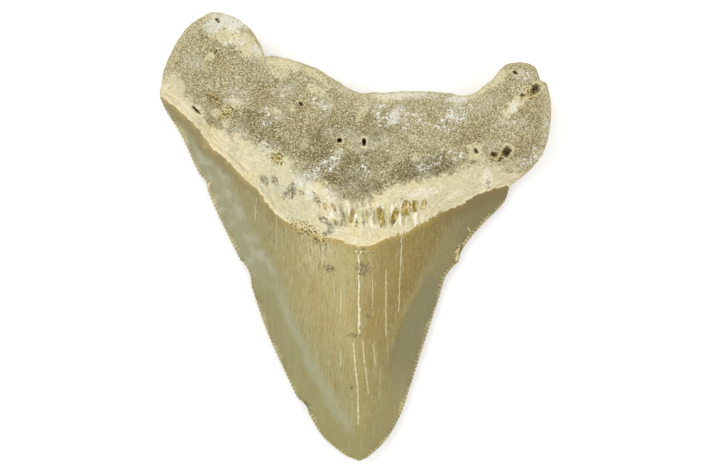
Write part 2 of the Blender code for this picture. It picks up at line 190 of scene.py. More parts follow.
# Where the root's grain is overlaid with cream: as the pits, with a strength in place of a depth.
# The next three tables are alike: white crust, clusters of chalk lines and darker brown grain.
CREAM_PATCHES = (
    (-18.0, 31.6, 2.4, 1.5, -55, 1.0),
    (-20.6, 33.2, 2.6, 1.4, 0, 0.8),
    (-15.6, 30.3, 1.4, 0.9, -30, 1.0),
    (-11.5, 28.5, 3.0, 1.0, -12, 0.9),
    (-12.6, 27.0, 1.4, 1.0, -30, 0.7),
    (-29.6, 25.2, 2.0, 1.2, -60, 0.9),
    (-28.8, 22.6, 1.6, 0.9, -50, 0.7),
    (-20.4, 21.6, 1.7, 0.8, 35, 0.9),
    (-22.9, 20.4, 0.8, 0.7, 0, 1.0),
    (-21.3, 18.8, 0.9, 0.5, -50, 0.8),
    (-23.8, 29.6, 1.0, 0.5, 30, 0.7),
    (26.4, 21.9, 3.0, 0.9, 45, 1.0),
    (28.3, 23.6, 1.5, 1.0, 0, 0.8),
    (23.6, 26.2, 2.0, 0.8, 35, 0.8),
    (20.8, 24.3, 1.8, 0.7, 25, 0.9),
    (18.2, 23.3, 2.0, 0.6, 5, 0.8),
    (19.8, 14.2, 1.5, 1.1, 60, 0.8),
    (21.8, 12.4, 1.6, 0.9, 0, 0.8),
    (26.0, 12.2, 1.6, 0.6, 10, 0.5),
    (-6.6, 26.7, 3.0, 0.6, -32, 0.7),
    (-6.4, 24.2, 1.6, 0.8, -20, 0.7),
    (5.6, 22.9, 3.0, 0.8, 5, 0.8),
    (1.2, 20.4, 1.8, 0.7, 60, 0.6),
    (9.6, 16.2, 0.9, 0.6, 0, 0.6),
    (10.0, 13.0, 0.9, 0.6, 0, 0.6),
    (-13.2, 20.8, 0.9, 0.6, 0, 0.5),
    (-8.2, 15.2, 1.2, 0.6, 60, 0.5),
    (-10.2, 21.2, 0.8, 0.6, 0, 0.9),
)
WHITE_PATCHES = (
    (-20.8, 35.4, 2.9, 1.5, -10, 1.0),
    (-23.0, 34.8, 1.8, 1.2, 30, 0.7),
    (-16.2, 30.8, 1.0, 0.7, -40, 0.8),
    (-7.9, 9.0, 1.7, 0.8, -30, 0.65),
    (-4.2, 6.9, 1.4, 0.8, -40, 0.7),
    (-4.1, 3.8, 0.8, 0.7, 0, 1.0),
    (17.2, 22.7, 2.0, 0.6, 10, 0.8),
    (6.6, 19.8, 1.6, 0.8, 60, 0.7),
    (21.7, 9.4, 0.8, 1.6, 0, 1.0),
    (8.4, 23.4, 4.6, 0.7, 0, 0.6),
    (-7.2, 7.2, 0.9, 1.1, 0, 0.75),
    (12.0, 7.4, 3.0, 0.8, 12, 0.5),
    (26.2, 21.4, 0.9, 0.7, 45, 0.9),
)
CHALK_CLUSTERS = (
    (-5.2, 11.4, 3.0, 1.3, 35, 1.0),
    (-8.6, 9.8, 2.2, 1.2, 30, 0.8),
    (-3.2, 12.6, 1.8, 0.8, 60, 0.8),
    (5.0, 20.0, 2.2, 1.6, -40, 1.0),
    (9.0, 19.4, 2.6, 1.4, 10, 0.7),
    (-13.9, 19.6, 1.6, 1.0, 50, 0.9),
    (-14.0, 14.9, 1.6, 0.9, 0, 1.0),
    (-6.0, 22.0, 2.0, 0.7, -20, 0.7),
    (-15.0, 21.2, 1.0, 0.8, 0, 0.8),
    (-12.2, 23.8, 1.4, 0.9, 0, 0.6),
    (-19.6, 32.0, 1.6, 0.7, 0, 0.9),
    (-19.4, 23.0, 2.0, 1.2, 0, 0.4),
    (16.5, 20.2, 2.6, 1.6, 30, 0.8),
    (14.6, 18.2, 1.6, 1.0, 0, 0.6),
    (12.0, 12.0, 2.2, 1.4, 20, 0.7),
    (16.8, 13.6, 1.2, 1.0, -45, 0.8),
    (28.8, 12.9, 2.2, 0.9, 35, 0.9),
    (31.2, 17.4, 1.8, 0.7, 80, 0.6),
    (27.4, 18.6, 1.6, 0.9, -30, 0.6),
    (28.0, 26.6, 1.4, 0.9, 0, 0.9),
    (24.4, 18.4, 1.4, 0.9, 0, 0.5),
    (1.6, 11.8, 1.4, 0.5, 100, 0.9),
    (-2.4, 25.0, 2.0, 1.0, -30, 0.4),
)
BROWN_PATCHES = (
    (-21.3, 20.7, 1.5, 0.9, 35, 1.0),
    (-23.4, 22.9, 1.1, 0.8, -50, 0.8),
    (13.4, 11.6, 2.8, 1.8, -20, 0.8),
    (8.6, 11.0, 3.0, 1.6, 0, 0.7),
    (-2.6, 10.4, 4.2, 2.2, -10, 0.6),
    (-6.6, 14.6, 3.0, 2.8, 0, 0.75),
    (1.0, 18.5, 6.5, 2.2, 0, 0.35),
    (1.5, 12.6, 4.0, 1.6, 0, 0.5),
    (2.4, 8.2, 2.0, 1.2, 0, 0.6),
    (-12.0, 14.5, 3.0, 2.0, -30, 0.5),
    (-16.0, 18.6, 3.0, 2.2, -30, 0.5),
    (23.6, 12.9, 1.4, 0.8, 20, 0.7),
)

SERRATION_PITCH = 0.67
# Points on a smooth line for each stretch between two given ones
STRETCH_POINTS = 25

# How the fine copy is made from the faceted body
FINE_CUTS = 3
BODY_SMOOTHING = 10
# Smoothing leaves what lies nearer than this to the cutting edge, to the enamel's border, and to a
# pit's centre in the pit's own size
EDGE_KEPT = 0.25
BORDER_KEPT = 0.45
PIT_KEPT = 1.5
# Lumps of the root: their size, and how far they rise
GRAIN = ((0.9, 0.10), (2.6, 0.12))
# The grain grows to its full height over this much of the root
GRAIN_FADE = 1.5
# The share of a pit's depth that the faceted body lacks, and its flat floor and rim in its own size
PIT_SINK = 0.6
PIT_FLOOR = 0.5
PIT_RIM = 1.1

# What makes the patches ragged: how fine, how strong, and which noise
RAGGED = ((1.1, 0.55, 0), (2.4, 0.33, 4))
# Where a patch starts to fade and where it ends, in its own size
PATCH_FADE = (0.75, 1.3)
# Further than this from every mark, in the mark's own size, nothing changes
FAR = 5.0
# The gap around each face in the flat map, as a share of the map's side
MAP_MARGIN = 0.005

# The camera: a pixel is this large at the cutting edges, which lie this high above the table
PICTURE_WIDTH = 708
PIXEL = 0.1656 * MM
EDGE_HEIGHT = 0.001
CAMERA_HEIGHT = 1.2
SENSOR = 36

LAMP_SIZE = 0.6
SKY_STRENGTH = 0.88
TABLE_GLOW = 0.18


def smooth_line(points, step=0.1):
    """Evenly spaced points on a smooth line through the given ones."""
    knots = [Vector(p).to_3d() for p in points]
    line = [knots[0]]
    for i in range(len(knots) - 1):
        before, here = knots[max(i - 1, 0)], knots[i]
        there, after = knots[i + 1], knots[min(i + 2, len(knots) - 1)]
        reach = (there - here).length / 3
        leaving = here + (there - before).normalized() * reach
        arriving = there - (after - here).normalized() * reach
        line += geometry.interpolate_bezier(here, leaving, arriving, there, STRETCH_POINTS)[1:]
    line = np.array([p.xy for p in line])
    along = np.append(0, np.cumsum(np.linalg.norm(np.diff(line, axis=0), axis=1)))
    marks = np.arange(0, along[-1], step)
    return np.column_stack([np.interp(marks, along, line[:, i]) for i in range(2)])


def nearest_on(line, points):
    """For each point, the number of the nearest one on the line, and how far it is."""
    tree = kdtree.KDTree(len(line))
    for i, spot in enumerate(line):
        tree.insert((*spot, 0), i)
    tree.balance()
    found = [tree.find((x, y, 0))[1:] for x, y in points]
    return np.array([f[0] for f in found]), np.array([f[1] for f in found])


def above(line, points):
    """The distance of each point from a line that runs from left to right, positive above it."""
    index, gap = nearest_on(line, points)
    along = np.gradient(line, axis=0)[index]
    offset = points - line[index]
    return np.copysign(gap, along[:, 0] * offset[:, 1] - along[:, 1] * offset[:, 0])


def smoothstep(low, high, value):
    share = np.clip((value - low) / (high - low), 0, 1)
    return share * share * (3 - 2 * share)


def pit_reach(pit, points):
    """How far each point lies from a pit's centre, where 1 is the pit's own edge."""
    x, y, half_length, half_width, turn = pit[:5]
    c, s = math.cos(math.radians(turn)), math.sin(math.radians(turn))
    dx, dy = (points - (x, y)).T
    return np.hypot((dx * c + dy * s) / half_length, (dy * c - dx * s) / half_width)


def positions(body):
    return np.array([v.co for v in body.verts]) / MM


class Survey:
    """Where each point of the tooth lies on it, in millimetres."""

    def __init__(self, body):
        points = positions(body)
        self.plan = points[:, :2]
        self.lingual = np.array([v.normal.z > 0 for v in body.verts])
        self.rim = np.zeros(len(points), bool)
        for edge in body.edges:
            if self.on_rim(edge):
                for vert in edge.verts:
                    self.rim[vert.index] = True
        self.from_edge = nearest_on(self.plan[self.rim], self.plan)[1]
        over_lingual = above(smooth_line(LINGUAL_MARGIN), self.plan)
        over_labial = above(smooth_line(LABIAL_MARGIN), self.plan)
        self.over = np.where(self.lingual, over_lingual, over_labial)
        self.over_band = above(smooth_line(BAND_TOP), self.plan)
        self.serration = self.along_rim(body)
        self.ragged = sum(
            np.array([swing * noise.noise(Vector((*p, seed)) * scale) for p in self.plan])
            for scale, swing, seed in RAGGED)

    def along_rim(self, body):
        """How many serrations lie between the tip and the nearest point of the cutting edge."""
        rim = np.flatnonzero(self.rim)
        tip = rim[self.plan[rim, 1].argmin()]
        order, count = [tip], len(rim)
        seen = {tip}
        while len(order) < count:
            vert = body.verts[order[-1]]
            ahead = [e.other_vert(vert).index for e in vert.link_edges if self.on_rim(e)]
            ahead = [i for i in ahead if i not in seen]
            if not ahead:
                break
            seen.add(ahead[0])
            order.append(ahead[0])
        line = self.plan[order]
        along = np.append(0, np.cumsum(np.linalg.norm(np.diff(line, axis=0), axis=1)))
        return along[nearest_on(line, self.plan)[0]] / SERRATION_PITCH

    @staticmethod
    def on_rim(edge):
        sides = [f.normal.z > 0 for f in edge.link_faces]
        return sides[0] != sides[1]


def fine_copy(node):
    """A fine, even-sided copy of the faceted body."""
    body = bmesh.new()
    body.from_mesh(node.data)
    bmesh.ops.remove_doubles(body, verts=body.verts, dist=1e-7)
    bmesh.ops.subdivide_edges(body, edges=body.edges, cuts=FINE_CUTS, use_grid_fill=True)
    bmesh.ops.triangulate(body, faces=[f for f in body.faces if len(f.verts) > 3])
    body.verts.ensure_lookup_table()
    body.verts.index_update()
    body.normal_update()
    return body


def smooth_body(body, survey):
    """Smooths the facets away, but not the cutting edge, the enamel's border and the pits."""
    steady = (survey.from_edge < EDGE_KEPT) | (np.abs(survey.over) < BORDER_KEPT)
    for pit in PITS:
        steady |= survey.lingual & (pit_reach(pit, survey.plan) < PIT_KEPT)
    moving = [body.verts[i] for i in np.flatnonzero(~steady)]
    for _ in range(BODY_SMOOTHING):
        bmesh.ops.smooth_vert(body, verts=moving, factor=0.5,
                              use_axis_x=True, use_axis_y=True, use_axis_z=True)


def grain_root(body, survey):
    """Gives the root its fine lumps, sinks the pits, and keeps it all above the table."""
    body.normal_update()
    grainy = smoothstep(0, GRAIN_FADE, np.where(survey.lingual, survey.over_band, survey.over))
    for vert, share in zip(body.verts, grainy):
        if share > 0:
            rise = sum(swing * noise.noise(vert.co / MM / size) for size, swing in GRAIN)
            vert.co += vert.normal * rise * share * MM
    sink = np.zeros(len(survey.plan))
    for pit in PITS:
        hollow = 1 - smoothstep(PIT_FLOOR, PIT_RIM, pit_reach(pit, survey.plan))
        sink = np.maximum(sink, pit[5] * hollow)
    for i in np.flatnonzero(survey.lingual & (sink > 0)):
        body.verts[i].co.z -= PIT_SINK * sink[i] * MM
    for vert in body.verts:
        vert.co.z = max(vert.co.z, 0.0)


def flat_map(mesh):
    """A map of the surface with the two faces side by side, each seen square on."""
    uv = mesh.uv_layers.new(name="OFBake")
    low = Vector(cad_box[0])
    size = Vector(cad_box[1]) - low
    scale = (0.5 - 2 * MAP_MARGIN) / max(size.x, size.y / 2)
    for face in mesh.polygons:
        shift = MAP_MARGIN if face.normal.z > 0 else 0.5 + MAP_MARGIN
        for loop in face.loop_indices:
            spot = mesh.vertices[mesh.loops[loop].vertex_index].co - low
            uv.data[loop].uv = (shift + spot.x * scale, MAP_MARGIN + spot.y * scale)


def strongest(patches, survey):
    """The strength at each point of the patch that covers it most, with ragged borders."""
    strength = np.zeros(len(survey.plan))
    for patch in patches:
        reach = pit_reach(patch, survey.plan) + survey.ragged
        strength = np.maximum(strength, patch[5] * (1 - smoothstep(*PATCH_FADE, reach)))
    return strength * survey.lingual


def nearest_reach(patches, survey):
    """How far each point lies from the nearest oval, where 1 is its edge. The lower face is far."""
    reach = np.min([pit_reach(patch, survey.plan) for patch in patches], axis=0)
    return np.where(survey.lingual, np.minimum(reach, FAR), FAR)


# What the material reads at each point, three numbers under each name
MEASURES = {
    "survey": (("over", "over_band", "from_edge"), lambda s: (s.over, s.over_band, s.from_edge)),
    "edge": (("serration", "lingual", "chalk"),
             lambda s: (s.serration, s.lingual, strongest(CHALK_CLUSTERS, s))),
    "patches": (("cream", "white", "brown"),
                lambda s: [strongest(p, s) for p in (CREAM_PATCHES, WHITE_PATCHES, BROWN_PATCHES)]),
    "marks": (("grey", "stain", "smudge"),
              lambda s: [nearest_reach(p, s) for p in (GREY_MARKS, STAINS, SMUDGES)]),
}


def add_measures(mesh, survey):
    """Stores them on the mesh."""
    for name, (_, measure) in MEASURES.items():
        measures = mesh.attributes.new(name, "FLOAT_VECTOR", "POINT")
        columns = np.column_stack(tuple(measure(survey)))
        measures.data.foreach_set("vector", columns.ravel().astype(np.float32))


def make_tooth(node):
    body = fine_copy(node)
    survey = Survey(body)
    smooth_body(body, survey)
    grain_root(body, survey)
    mesh = bpy.data.meshes.new("fossil_tooth")
    body.to_mesh(mesh)
    body.free()
    add_measures(mesh, survey)
    flat_map(mesh)
    mesh.shade_smooth()
    tooth = bpy.data.objects.new("fossil_tooth", mesh)
    bpy.context.scene.collection.objects.link(tooth)
    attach(tooth, "root")
    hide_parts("tooth")
    return tooth


def srgb(red, green, blue):
    """A colour as read off a screen, from 0 to 255, as the linear colour that the shader takes."""
    shares = [channel / 255 for channel in (red, green, blue)]
    return tuple(c / 12.92 if c < 0.04045 else ((c + 0.055) / 1.055) ** 2.4 for c in shares)


# Cloudy noise keeps within about this much of 0.5
NOISE_SWING = 0.25
# The power of the ovals: 2 is a true ellipse, and more is squarer
SQUARISH = 4.0


class Recipe:
    """Builds a tree of nodes. Each method takes numbers or the outputs of other nodes."""

    def __init__(self, tree):
        self.tree = tree

    def feed(self, socket, value):
        if isinstance(value, bpy.types.NodeSocket):
            self.tree.links.new(value, socket)
        elif isinstance(value, tuple) and socket.type == "RGBA":
            socket.default_value = (*value, 1)
        else:
            socket.default_value = value

    def node(self, kind, **settings):
        made = self.tree.nodes.new("ShaderNode" + kind)
        for name, value in settings.items():
            setattr(made, name, value)
        return made

    def math(self, operation, *values):
        made = self.node("Math", operation=operation)
        for socket, value in zip(made.inputs, values):
            self.feed(socket, value)
        return made.outputs[0]

    def chain(self, operation, values):
        total = values[0]
        for value in values[1:]:
            total = self.math(operation, total, value)
        return total

    def add(self, *values):
        return self.chain("ADD", values)

    def less(self, *values):
        return self.chain("SUBTRACT", values)

    def times(self, *values):
        return self.chain("MULTIPLY", values)

    def either(self, *masks):
        return self.chain("MAXIMUM", masks)

    def size_of(self, value):
        return self.math("ABSOLUTE", value)

    def fade(self, value, low, high):
        """0 up to the low value, 1 from the high one, and smooth between. Low may be above high."""
        made = self.node("MapRange", interpolation_type="SMOOTHSTEP")
        turned = low > high
        entries = {
            "Value": value, "From Min": min(low, high), "From Max": max(low, high),
            "To Min": 1.0 if turned else 0.0, "To Max": 0.0 if turned else 1.0,
        }
        for name, entry in entries.items():
            self.feed(made.inputs[name], entry)
        return made.outputs["Result"]

    def mix(self, mask, under, over, blend="MIX"):
        made = self.node("Mix", data_type="RGBA", blend_type=blend)
        self.feed(made.inputs[0], mask)
        self.feed(made.inputs[6], under)
        self.feed(made.inputs[7], over)
        return made.outputs[2]

    def paint(self, colour, over, *masks):
        """The colour with another laid over it by the product of the masks."""
        return self.mix(self.times(*masks), colour, over)

    def blend(self, mask, under, over):
        """The same for numbers."""
        return self.add(under, self.times(mask, self.less(over, under)))

    def by_axis(self, operation, place, by):
        made = self.node("VectorMath", operation=operation)
        self.feed(made.inputs[0], place)
        made.inputs[1].default_value = by
        return made.outputs[0]

    def stretched(self, place, x, y, z):
        return self.by_axis("MULTIPLY", place, (x, y, z))

    def shifted(self, place, x, y, z):
        return self.by_axis("ADD", place, (x, y, z))

    def joined(self, *numbers):
        made = self.node("CombineXYZ")
        for socket, number in zip(made.inputs, numbers):
            self.feed(socket, number)
        return made.outputs[0]

    def parts(self, vector):
        made = self.node("SeparateXYZ")
        self.feed(made.inputs[0], vector)
        return tuple(made.outputs)

    def measured(self, name):
        return self.node("Attribute", attribute_name=name).outputs["Vector"]

    def noise(self, place, scale, detail=2.0, roughness=0.5):
        """Cloudy noise about 0.5."""
        made = self.node("TexNoise")
        self.feed(made.inputs["Vector"], place)
        made.inputs["Scale"].default_value = scale
        made.inputs["Detail"].default_value = detail
        made.inputs["Roughness"].default_value = roughness
        return made.outputs[0]

    def sway(self, place, scale, reach, detail=2.0):
        """Cloudy noise about 0, to either side by about this much."""
        return self.times(self.less(self.noise(place, scale, detail), 0.5), reach / NOISE_SWING)

    def ramp(self, value, *stops):
        """Colours at stops from 0 to 1."""
        made = self.node("ValToRGB")
        self.feed(made.inputs[0], value)
        elements = made.color_ramp.elements
        while len(elements) < len(stops):
            elements.new(1.0)
        for element, (position, colour) in zip(elements, stops):
            element.position = position
            element.color = (*colour, 1)
        return made.outputs[0]

    def use(self, group, *values):
        made = self.node("Group", node_tree=group)
        for socket, value in zip(made.inputs, values):
            self.feed(socket, value)
        return made.outputs[0]


def new_group(name, inputs):
    """An empty group with these number inputs and one number output, and its sockets."""
    group = bpy.data.node_groups.new(name, "ShaderNodeTree")
    for entry in inputs:
        group.interface.new_socket(entry, in_out="INPUT", socket_type="NodeSocketFloat")
    group.interface.new_socket("Result", in_out="OUTPUT", socket_type="NodeSocketFloat")
    entries = group.nodes.new("NodeGroupInput").outputs
    result = group.nodes.new("NodeGroupOutput").inputs[0]
    return group, Recipe(group), entries, result


def oval_group():
    """How far the surface lies from the middle of a squarish oval, where 1 is its edge."""
    names = ("X", "Y", "Middle X", "Middle Y", "Half length", "Half width", "Turn")
    group, recipe, entries, result = new_group("oval", names)
    x, y, middle_x, middle_y, half_length, half_width, turn = tuple(entries)[:7]
    dx, dy = recipe.less(x, middle_x), recipe.less(y, middle_y)
    c, s = recipe.math("COSINE", turn), recipe.math("SINE", turn)
    along = recipe.add(recipe.times(dx, c), recipe.times(dy, s))
    along = recipe.math("DIVIDE", along, half_length)
    across = recipe.less(recipe.times(dy, c), recipe.times(dx, s))
    across = recipe.math("DIVIDE", across, half_width)
    total = recipe.add(recipe.math("POWER", recipe.size_of(along), SQUARISH),
                       recipe.math("POWER", recipe.size_of(across), SQUARISH))
    recipe.feed(result, recipe.math("POWER", total, 1 / SQUARISH))
    return group


def line_group():
    """A thin line that runs down the crown between two ends, as a mask."""
    names = ("X", "Y", "Middle X", "Slope", "Middle Y", "Half height", "Half width")
    group, recipe, entries, result = new_group("crack_line", names)
    x, y, middle_x, slope, middle_y, half_height, half_width = tuple(entries)[:7]
    up = recipe.less(y, middle_y)
    gap = recipe.size_of(recipe.less(x, middle_x, recipe.times(up, slope)))
    line = recipe.fade(recipe.math("DIVIDE", gap, half_width), 1.0, 0.4)
    ends = recipe.fade(recipe.less(recipe.size_of(up), half_height), 0.3, -0.5)
    recipe.feed(result, recipe.times(line, ends))
    return group


CREAM = srgb(226, 216, 174)
WHITE = srgb(226, 224, 208)
CHALK = srgb(234, 232, 222)
GOLDEN_BROWN = srgb(166, 142, 64)
BLUE_GREY = srgb(158, 161, 134)

ENAMEL_ROUGHNESS = 0.38
BAND_ROUGHNESS = 0.72
ROOT_ROUGHNESS = 0.9
# The faint bump of stripes, cracks, slots and grit, at most this many millimetres
BUMP_HEIGHT = 0.3

# The crown's half-width grows by this much for each millimetre above this point
CROWN_SPREAD = 0.39
CROWN_POINT_Y = -47.0


def crack_mask(recipe, here):
    """Thin wandering lines down the enamel."""
    group = line_group()
    across = recipe.add(here.x, recipe.sway(here.place, 0.8, 0.12, 3.0))
    ragged = recipe.add(recipe.times(recipe.noise(here.place, 1.8, 3.0, 0.7), 2.8), -0.55)
    masks = []
    for x0, y0, x1, y1, half_width, strength in CRACKS:
        slope = (x1 - x0) / (y1 - y0)
        line = recipe.use(group, across, here.y, (x0 + x1) / 2, slope, (y0 + y1) / 2,
                          (y0 - y1) / 2, recipe.times(ragged, half_width))
        masks.append(recipe.times(line, strength))
    return recipe.times(recipe.either(*masks), here.lingual)


def reaches(recipe, here, patches):
    """How far the surface lies from each squarish oval, where 1 is its edge."""
    return [recipe.use(here.oval, here.x, here.y, *patch[:4], math.radians(patch[4]))
            for patch in patches]


def enamel_shades(recipe, here):
    """Olive buff, lightest down the middle and browner to the right."""
    half_width = recipe.times(recipe.add(here.y, -CROWN_POINT_Y), CROWN_SPREAD)
    share = recipe.add(recipe.times(recipe.math("DIVIDE", here.x, half_width), 0.5), 0.5)
    share = recipe.add(share, recipe.times(here.cloud, 0.06))
    upper = recipe.ramp(share, (0.0, srgb(131, 126, 82)), (0.25, srgb(158, 147, 95)),
                        (0.47, srgb(173, 160, 105)), (0.62, srgb(140, 121, 54)),
                        (0.85, srgb(125, 106, 38)), (1.0, srgb(110, 96, 50)))
    lower = recipe.ramp(share, (0.0, srgb(143, 138, 90)), (0.35, srgb(147, 140, 92)),
                        (0.55, srgb(149, 138, 82)), (0.8, srgb(133, 122, 66)),
                        (1.0, srgb(135, 122, 70)))
    return recipe.mix(recipe.fade(here.y, -12.0, -27.0), upper, lower)


def enamel_streaks(recipe, here, colour):
    """Fine stripes down the crown, a chalky area below the band and specks all over."""
    place = here.place
    streaks = recipe.noise(recipe.stretched(place, 1.0, 0.07, 0.3), 1.3, 4.0, 0.65)
    colour = recipe.paint(colour, srgb(149, 118, 48), recipe.fade(streaks, 0.52, 0.70), 0.38)
    colour = recipe.paint(colour, srgb(175, 168, 126), recipe.fade(streaks, 0.47, 0.32), 0.34)
    fine = recipe.noise(recipe.stretched(place, 1.0, 0.16, 0.4), 4.4, 3.0, 0.7)
    colour = recipe.paint(colour, srgb(195, 186, 144), recipe.fade(fine, 0.52, 0.72), 0.30)
    colour = recipe.paint(colour, srgb(115, 96, 44), recipe.fade(fine, 0.46, 0.30), 0.26)
    middle = recipe.add(recipe.size_of(recipe.add(here.x, 6.0)), here.cloud)
    chalky = recipe.times(recipe.fade(middle, 4.4, 0.8), recipe.fade(here.over, -9.0, -1.0))
    colour = recipe.paint(colour, srgb(206, 197, 162), chalky, recipe.fade(fine, 0.40, 0.60), 0.60)
    hairs = recipe.noise(recipe.stretched(place, 1.0, 0.06, 0.3), 5.0, 2.0, 0.6)
    hair_strength = recipe.add(0.32, recipe.times(chalky, 0.4))
    colour = recipe.paint(colour, srgb(96, 78, 36), recipe.fade(hairs, 0.44, 0.34), hair_strength)
    specks = recipe.noise(recipe.shifted(place, 0.0, 11.0, 0.0), 5.0, 2.0, 0.7)
    colour = recipe.paint(colour, srgb(195, 178, 126), recipe.fade(specks, 0.54, 0.68), 0.28)
    return recipe.paint(colour, srgb(98, 82, 38), recipe.fade(specks, 0.46, 0.32), 0.32)


def enamel_borders(recipe, here, colour):
    """The thinner enamel near the cutting edges: blue-grey on the left, partly a painted highlight,
    and dark on the right.
    """
    place, x, y = here.place, here.x, here.y
    border = recipe.add(here.from_edge, recipe.times(here.cloud, 0.7))
    margin = recipe.times(recipe.fade(border, 5.0, 3.4), recipe.fade(here.over, -0.6, -2.6))
    colour = recipe.paint(colour, srgb(139, 132, 84), margin, 0.50)
    # On the upper left the grey, the pale bloom and the blue-grey streak are partly the enamel's
    # colour and partly a painted cool highlight
    high = recipe.times(recipe.fade(x, -8.0, -12.0), recipe.fade(here.over, -1.1, -2.2),
                        recipe.fade(y, -10.0, -3.0))
    colour = recipe.paint(colour, srgb(146, 145, 113), margin, high, 0.66)
    highlight_bloom = recipe.fade(recipe.noise(recipe.shifted(place, 0.0, 61.0, 0.0), 0.5, 3.0), 0.42, 0.68)
    colour = recipe.paint(colour, srgb(170, 168, 142), margin, high, highlight_bloom, 0.62)
    wander = recipe.add(border, recipe.sway(place, 0.35, 0.5))
    left = recipe.times(recipe.fade(x, 1.0, -2.0), recipe.fade(y, -3.0, -13.0),
                        recipe.fade(y, -37.0, -30.0))
    streak = recipe.fade(recipe.size_of(recipe.less(wander, 4.3)), 1.7, 0.0)
    colour = recipe.paint(colour, BLUE_GREY, streak, left, 0.50)
    right = recipe.times(recipe.fade(x, 4.0, 7.0), recipe.fade(y, -3.0, -9.0),
                         recipe.fade(y, -30.0, -18.0))
    slanted = recipe.add(border, recipe.times(recipe.add(y, 16.0), 0.16))
    colour = recipe.paint(colour, srgb(115, 110, 74), recipe.fade(slanted, 5.1, 4.3), right, 0.65)
    inner = recipe.fade(recipe.size_of(recipe.less(slanted, 5.5)), 0.8, 0.1)
    return recipe.paint(colour, srgb(160, 152, 106), inner, right, 0.22)


def enamel_foot(recipe, here, colour):
    """Rust where the enamel meets the dental band, and browner corners at both ends of it."""
    place, over = here.place, here.over
    foot = recipe.add(over, recipe.sway(place, 0.5, 0.7, 3.0), recipe.sway(place, 2.6, 0.25))
    colour = recipe.paint(colour, GOLDEN_BROWN, recipe.fade(foot, -1.3, -0.1), 0.50)
    rust = recipe.fade(recipe.noise(recipe.shifted(place, 17.0, 0.0, 0.0), 0.7, 3.0), 0.42, 0.58)
    hem = recipe.size_of(recipe.add(over, 0.3, recipe.sway(place, 1.4, 0.12)))
    hem = recipe.fade(hem, 0.35, 0.05)
    colour = recipe.paint(colour, srgb(166, 136, 60), hem, rust, 0.60)
    left = recipe.times(recipe.fade(here.x, -9.0, -14.0), recipe.fade(foot, -2.2, -1.0))
    colour = recipe.paint(colour, srgb(132, 118, 74), left, 0.75)
    golden = recipe.times(recipe.fade(here.x, -9.0, -14.0), recipe.fade(foot, -0.8, -0.2))
    colour = recipe.paint(colour, srgb(162, 142, 88), golden, 0.65)
    shoulder = recipe.times(recipe.fade(here.x, 15.0, 20.0), recipe.fade(foot, -7.0, -4.0))
    colour = recipe.paint(colour, srgb(112, 102, 60), shoulder, 0.65)
    right = recipe.times(recipe.fade(here.x, 11.0, 16.0), recipe.fade(foot, -2.8, -0.8))
    return recipe.paint(colour, srgb(114, 92, 38), right, 0.65)


def enamel_edge(recipe, here, colour):
    """A pale tick on each serration."""
    ridge = recipe.fade(recipe.math("COSINE", recipe.times(here.serration, math.tau)), -0.5, 0.8)
    groove = recipe.less(1.0, ridge)
    gap = recipe.add(here.from_edge, recipe.sway(here.place, 0.25, 0.3),
                     recipe.sway(here.place, 0.9, 0.12))
    colour = recipe.paint(colour, srgb(112, 98, 54), groove, recipe.fade(gap, 0.7, 0.4), 0.35)
    gap = recipe.add(gap, recipe.times(groove, 0.25))
    strength = recipe.add(0.45, recipe.sway(here.place, 0.35, 0.4))
    return recipe.paint(colour, srgb(196, 184, 128), recipe.fade(gap, 0.55, 0.25), strength)


def crown_colour(recipe, here, crack):
    colour = enamel_shades(recipe, here)
    colour = enamel_streaks(recipe, here, colour)
    colour = enamel_borders(recipe, here, colour)
    colour = enamel_foot(recipe, here, colour)
    colour = enamel_edge(recipe, here, colour)
    colour = recipe.paint(colour, srgb(214, 207, 168), crack)
    smudge = recipe.fade(recipe.add(here.smudge, recipe.times(here.fine, 2.2)), 1.5, 0.6)
    grains = recipe.fade(recipe.noise(here.place, 3.6, 2.0, 0.7), 0.56, 0.46)
    strength = recipe.add(0.22, recipe.times(grains, 0.66))
    return recipe.paint(colour, srgb(92, 78, 44), smudge, strength)


